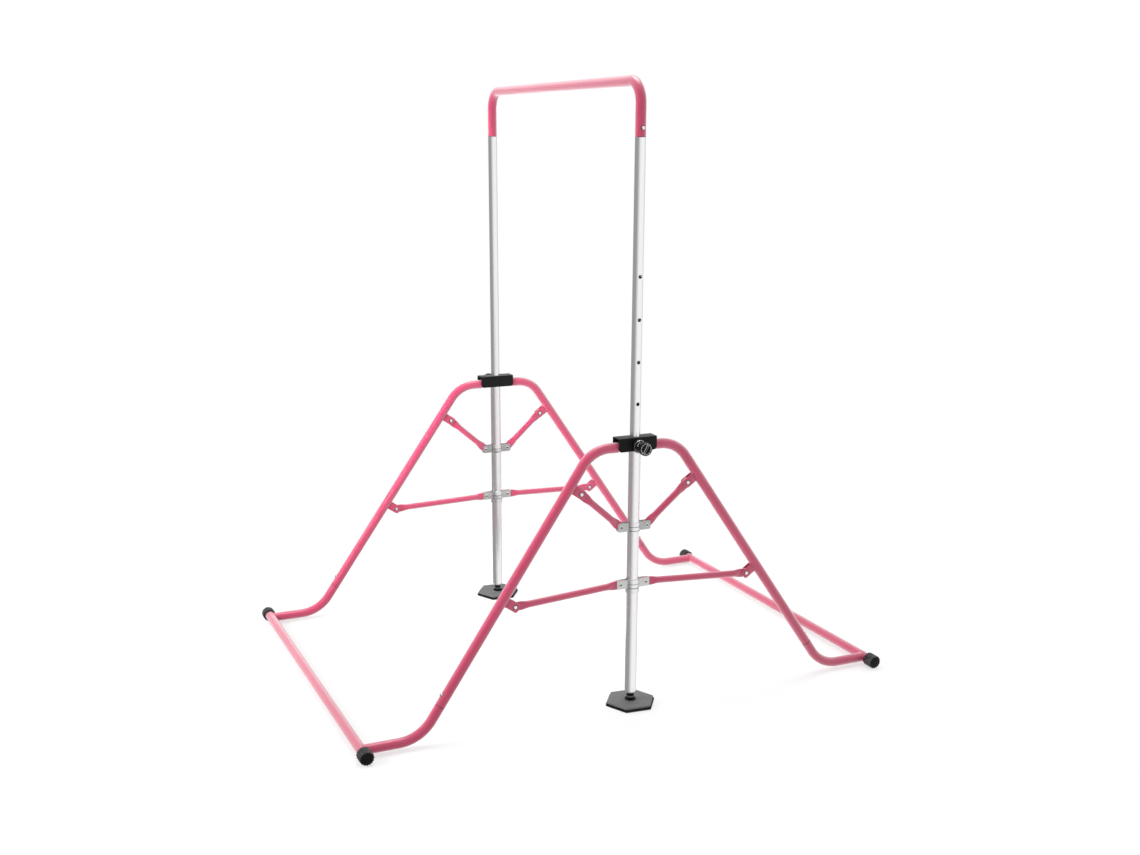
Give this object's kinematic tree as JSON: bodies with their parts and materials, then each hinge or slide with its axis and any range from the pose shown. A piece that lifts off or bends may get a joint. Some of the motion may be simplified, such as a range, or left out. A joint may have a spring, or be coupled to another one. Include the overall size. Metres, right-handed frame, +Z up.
{
  "type": "folding gymnastics bar",
  "caption": "Free-standing horizontal bar with telescoping uprights that lock at several heights, braced by folding pairs of legs on floor tubes and swivel feet.",
  "frame": {"origin": "on the floor, midway between the two uprights", "axes": "+X along the bar, to the right upright; +Y to the rear cross tube; +Z up"},
  "size_m": [1.062, 1.458, 1.5226],
  "materials": {
    "pink_paint": "semi-gloss powder coat",
    "silver_tube": "satin plated tube",
    "silver_plate": "satin plated clamp",
    "bright_steel": "bright",
    "black_paint": "semi-matt powder coat",
    "black_plastic": "satin moulded",
    "grey_pad": "matt moulded",
    "black_rubber": "matt",
    "pale_plastic": "satin moulded"
  },
  "bodies": {
    "stand": {"left_outer_tube": "silver_tube", "left_foot_stem": "black_paint", "right_outer_tube": "silver_tube", "right_foot_stem": "black_paint"},
    "bar": {"top_bar": "pink_paint", "left_inner_tube": "silver_tube", "right_inner_tube": "silver_tube"},
    "brackets": {"left_bracket": "black_paint", "left_knob_base": "black_plastic", "left_knob_spring": "bright_steel", "right_bracket": "black_paint", "right_knob_base": "black_plastic", "right_knob_spring": "bright_steel"},
    "left_foot": {"left_foot_pad": "grey_pad", "left_foot_sole": "black_rubber"},
    "left_bar_snap": {"left_bar_button": "bright_steel"},
    "left_knob": {"left_knob_cap": "black_plastic", "left_knob_bar": "pale_plastic", "left_lock_pin": "bright_steel"},
    "right_foot": {"right_foot_pad": "grey_pad", "right_foot_sole": "black_rubber"},
    "right_bar_snap": {"right_bar_button": "bright_steel"},
    "right_knob": {"right_knob_cap": "black_plastic", "right_knob_bar": "pale_plastic", "right_lock_pin": "bright_steel"},
    "upper_collars": {"left_upper_collar_clamp": "silver_plate", "right_upper_collar_clamp": "silver_plate"},
    "lower_collars": {"left_lower_collar_clamp": "silver_plate", "right_lower_collar_clamp": "silver_plate", "left_lower_collar_sleeve": "silver_plate", "right_lower_collar_sleeve": "silver_plate"},
    "front_upper_links": {"front_left_upper_link": "pink_paint", "front_right_upper_link": "pink_paint"},
    "front_lower_links": {"front_left_lower_link": "pink_paint", "front_right_lower_link": "pink_paint"},
    "front_legs": {"front_left_leg": "pink_paint", "front_left_elbow": "pink_paint", "front_left_end_cap": "black_plastic", "front_right_leg": "pink_paint", "front_right_elbow": "pink_paint", "front_right_end_cap": "black_plastic", "front_cross_tube": "pink_paint"},
    "front_left_leg_snap": {"front_left_leg_button": "bright_steel"},
    "front_right_leg_snap": {"front_right_leg_button": "bright_steel"},
    "rear_upper_links": {"rear_left_upper_link": "pink_paint", "rear_right_upper_link": "pink_paint"},
    "rear_lower_links": {"rear_left_lower_link": "pink_paint", "rear_right_lower_link": "pink_paint"},
    "rear_legs": {"rear_left_leg": "pink_paint", "rear_left_elbow": "pink_paint", "rear_left_end_cap": "black_plastic", "rear_right_leg": "pink_paint", "rear_right_elbow": "pink_paint", "rear_right_end_cap": "black_plastic", "rear_cross_tube": "pink_paint"},
    "rear_left_leg_snap": {"rear_left_leg_button": "bright_steel"},
    "rear_right_leg_snap": {"rear_right_leg_button": "bright_steel"}
  },
  "joints": [
    {"name": "height", "type": "slide", "parent": "stand", "child": "bar", "axis": [0, 0, 1], "range_m": [-0.4, 0]},
    {"name": "fold", "type": "hinge", "parent": "lower_collars", "child": "rear_lower_links", "pos_m": [0, 0.035, 0.3235], "axis": [1, 0, 0], "range_deg": [0, 86.38]},
    {"name": "fold_front_lower_links", "type": "hinge", "parent": "lower_collars", "child": "front_lower_links", "pos_m": [0, -0.035, 0.3235], "axis": [-1, 0, 0], "range_deg": [0, 86.39]},
    {"name": "fold_brackets", "type": "slide", "parent": "stand", "child": "brackets", "axis": [0, 0, 1], "range_m": [0, 0.2801]},
    {"name": "fold_upper_collars", "type": "slide", "parent": "stand", "child": "upper_collars", "axis": [0, 0, 1], "range_m": [0, 0.1927]},
    {"name": "fold_lower_collars", "type": "slide", "parent": "stand", "child": "lower_collars", "axis": [0, 0, 1], "range_m": [-0.113, 0]},
    {"name": "fold_front_legs", "type": "hinge", "parent": "front_lower_links", "child": "front_legs", "pos_m": [0, -0.321, 0.311], "axis": [-1, 0, 0], "range_deg": [-121.09, 0]},
    {"name": "fold_front_upper_links", "type": "hinge", "parent": "front_legs", "child": "front_upper_links", "pos_m": [0, -0.145, 0.568], "axis": [-1, 0, 0], "range_deg": [0, 70.65]},
    {"name": "front_left_leg_snap_press", "type": "slide", "parent": "front_legs", "child": "front_left_leg_snap", "axis": [0, 0.8221, -0.5693], "range_m": [0, 0.0034], "stiffness_N_per_m": 800, "springref_m": -0.002},
    {"name": "front_right_leg_snap_press", "type": "slide", "parent": "front_legs", "child": "front_right_leg_snap", "axis": [0, 0.8221, -0.5693], "range_m": [0, 0.0034], "stiffness_N_per_m": 800, "springref_m": -0.002},
    {"name": "fold_rear_legs", "type": "hinge", "parent": "rear_lower_links", "child": "rear_legs", "pos_m": [0, 0.321, 0.311], "axis": [1, 0, 0], "range_deg": [-121.09, 0]},
    {"name": "fold_rear_upper_links", "type": "hinge", "parent": "rear_legs", "child": "rear_upper_links", "pos_m": [0, 0.145, 0.568], "axis": [1, 0, 0], "range_deg": [0, 70.65]},
    {"name": "rear_left_leg_snap_press", "type": "slide", "parent": "rear_legs", "child": "rear_left_leg_snap", "axis": [0, -0.8221, -0.5693], "range_m": [0, 0.0034], "stiffness_N_per_m": 800, "springref_m": -0.002},
    {"name": "rear_right_leg_snap_press", "type": "slide", "parent": "rear_legs", "child": "rear_right_leg_snap", "axis": [0, -0.8221, -0.5693], "range_m": [0, 0.0034], "stiffness_N_per_m": 800, "springref_m": -0.002},
    {"name": "left_bar_snap_press", "type": "slide", "parent": "bar", "child": "left_bar_snap", "axis": [1, 0, 0], "range_m": [0, 0.0034], "stiffness_N_per_m": 800, "springref_m": -0.002},
    {"name": "left_knob_pull", "type": "slide", "parent": "brackets", "child": "left_knob", "axis": [-1, 0, 0], "range_m": [0, 0.01], "stiffness_N_per_m": 900, "springref_m": -0.004},
    {"name": "left_foot_turn", "type": "hinge", "parent": "stand", "child": "left_foot", "pos_m": [-0.46, 0, 0], "axis": [0, 0, 1], "continuous": true},
    {"name": "right_bar_snap_press", "type": "slide", "parent": "bar", "child": "right_bar_snap", "axis": [-1, 0, 0], "range_m": [0, 0.0034], "stiffness_N_per_m": 800, "springref_m": -0.002},
    {"name": "right_knob_pull", "type": "slide", "parent": "brackets", "child": "right_knob", "axis": [1, 0, 0], "range_m": [0, 0.01], "stiffness_N_per_m": 900, "springref_m": -0.004},
    {"name": "right_foot_turn", "type": "hinge", "parent": "stand", "child": "right_foot", "pos_m": [0.46, 0, 0], "axis": [0, 0, 1], "continuous": true}
  ],
  "couplings": [
    {"joint": "fold_front_lower_links", "follows": "fold", "ratio": 1},
    {"joint": "fold_brackets", "follows": "fold", "m_per_rad": 0.18572},
    {"joint": "fold_upper_collars", "follows": "fold", "m_per_rad": 0.12776},
    {"joint": "fold_lower_collars", "follows": "fold", "m_per_rad": -0.074885},
    {"joint": "fold_front_legs", "follows": "fold", "ratio": -1.4017},
    {"joint": "fold_front_upper_links", "follows": "fold", "ratio": 0.81777},
    {"joint": "fold_rear_legs", "follows": "fold", "ratio": -1.4017},
    {"joint": "fold_rear_upper_links", "follows": "fold", "ratio": 0.81777}
  ]
}
